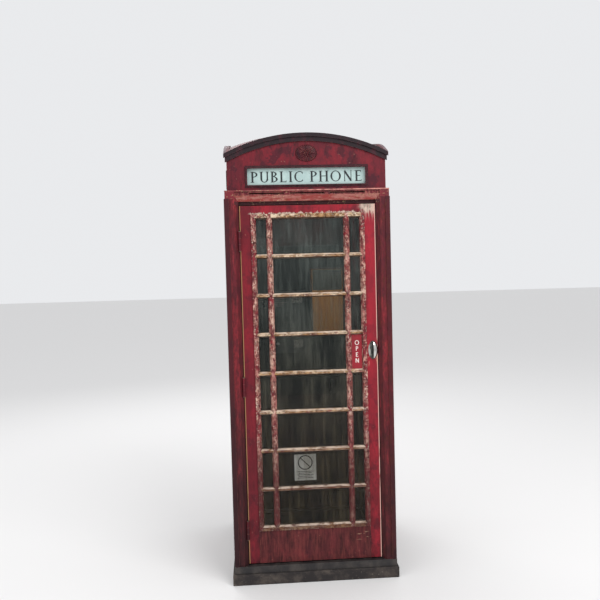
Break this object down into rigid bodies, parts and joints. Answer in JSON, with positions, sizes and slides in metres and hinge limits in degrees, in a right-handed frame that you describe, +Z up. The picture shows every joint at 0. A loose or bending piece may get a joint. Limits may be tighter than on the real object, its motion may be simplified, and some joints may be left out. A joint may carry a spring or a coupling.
{
  "type": "telephone booth",
  "caption": "Cast-iron street telephone booth with a domed roof, arched lit signs, a hinged door and glazed sides in narrow-wide-narrow panes, and a coin telephone inside.",
  "frame": {"origin": "on the ground, under the centre of the base", "axes": "+Z up, the door faces -Y, +X is to the right when facing the door"},
  "size_m": [0.92, 0.92, 2.515],
  "materials": {
    "red_casting": "weathered gloss paint over cast iron",
    "red_timber": "weathered gloss paint over teak",
    "worn_bars": "peeling red paint over old undercoat",
    "window_glass": "dusty clear glass",
    "opal_glass": "opal sign glass",
    "concrete": "black painted concrete",
    "polished_metal": "polished",
    "steel": "plain",
    "enamel": "enamelled plate",
    "black_painted": "satin black",
    "grey_painted": "hammered grey",
    "board": "dark painted plywood",
    "notice_wood": "varnished plywood",
    "black_plastic": "moulded",
    "white_ceiling": "off-white paint",
    "opal_globe": "opal glass"
  },
  "bodies": {
    "booth": {"back_panel": "red_casting", "backboard": "board", "base_slab": "concrete", "ceiling_panel": "white_ceiling", "coin_slot_plate": "polished_metal", "corner_post_back_left": "red_casting", "corner_post_back_right": "red_casting", "corner_post_front_left": "red_casting", "corner_post_front_right": "red_casting", "dial_plate": "black_painted", "frame_bolts": "steel", "hinge_pins": "steel", "hinge_post_leaves": "steel", "lamp_base": "black_painted", "lamp_globe": "opal_globe", "lintel_back": "red_casting", "lintel_front": "red_casting", "lintel_left": "red_casting", "lintel_right": "red_casting", "notice_board": "notice_wood", "pediment_back": "red_casting", "pediment_front": "red_casting", "pediment_left": "red_casting", "pediment_right": "red_casting", "phone_case": "grey_painted", "phone_cover": "grey_painted", "refund_cup": "polished_metal", "roof_dome": "red_casting", "rosettes": "red_casting", "shelf": "board", "shelf_brackets": "black_painted", "side_frame_left": "red_casting", "side_frame_right": "red_casting", "side_glazing_left": "worn_bars", "side_glazing_right": "worn_bars", "side_panes_left": "window_glass", "side_panes_right": "window_glass", "sign_frames": "red_casting", "sign_glass_back": "opal_glass", "sign_glass_front": "opal_glass", "sign_glass_left": "opal_glass", "sign_glass_right": "opal_glass", "sill_frame": "black_painted"},
    "door": {"door_hinge_stile": "red_timber", "door_lock_stile": "red_timber", "door_top_rail": "red_timber", "door_bottom_rail": "red_timber", "door_glazing": "worn_bars", "door_panes": "window_glass", "pull_plate": "enamel", "handle_plate": "polished_metal", "handle_hood": "polished_metal", "hinge_door_leaves": "steel"},
    "dial_wheel": {"finger_wheel": "polished_metal"},
    "refund_door": {"refund_flap": "polished_metal"},
    "press_button": {"coin_button": "polished_metal"},
    "hook": {"hook_lever": "polished_metal"},
    "receiver": {"handset": "black_plastic", "handset_caps": "black_plastic"}
  },
  "joints": [
    {"name": "door_swing", "type": "hinge", "parent": "booth", "child": "door", "pos_m": [-0.371, -0.434, 1.088], "axis": [0, 0, -1], "range_deg": [0, 95]},
    {"name": "dial_turn", "type": "hinge", "parent": "booth", "child": "dial_wheel", "pos_m": [-0.095, 0.25, 1.405], "axis": [0, 1, 0], "range_deg": [0, 330], "stiffness_Nm_per_rad": 0.01},
    {"name": "refund_flap_swing", "type": "hinge", "parent": "booth", "child": "refund_door", "pos_m": [-0.025, 0.261, 1.2608], "axis": [1, 0, 0], "range_deg": [0, 55]},
    {"name": "coin_button_press", "type": "slide", "parent": "booth", "child": "press_button", "axis": [0, 1, 0], "range_m": [0, 0.005], "stiffness_N_per_m": 400, "springref_m": -0.004},
    {"name": "handset_lift", "type": "slide", "parent": "booth", "child": "receiver", "axis": [0, 0, 1], "range_m": [0, 0.15]},
    {"name": "hook_rise", "type": "hinge", "parent": "booth", "child": "hook", "pos_m": [-0.225, 0.358, 1.47427], "axis": [0, 1, 0], "range_deg": [0, 8]}
  ],
  "couplings": [
    {"joint": "hook_rise", "follows": "handset_lift", "rad_per_m": 0.93}
  ]
}
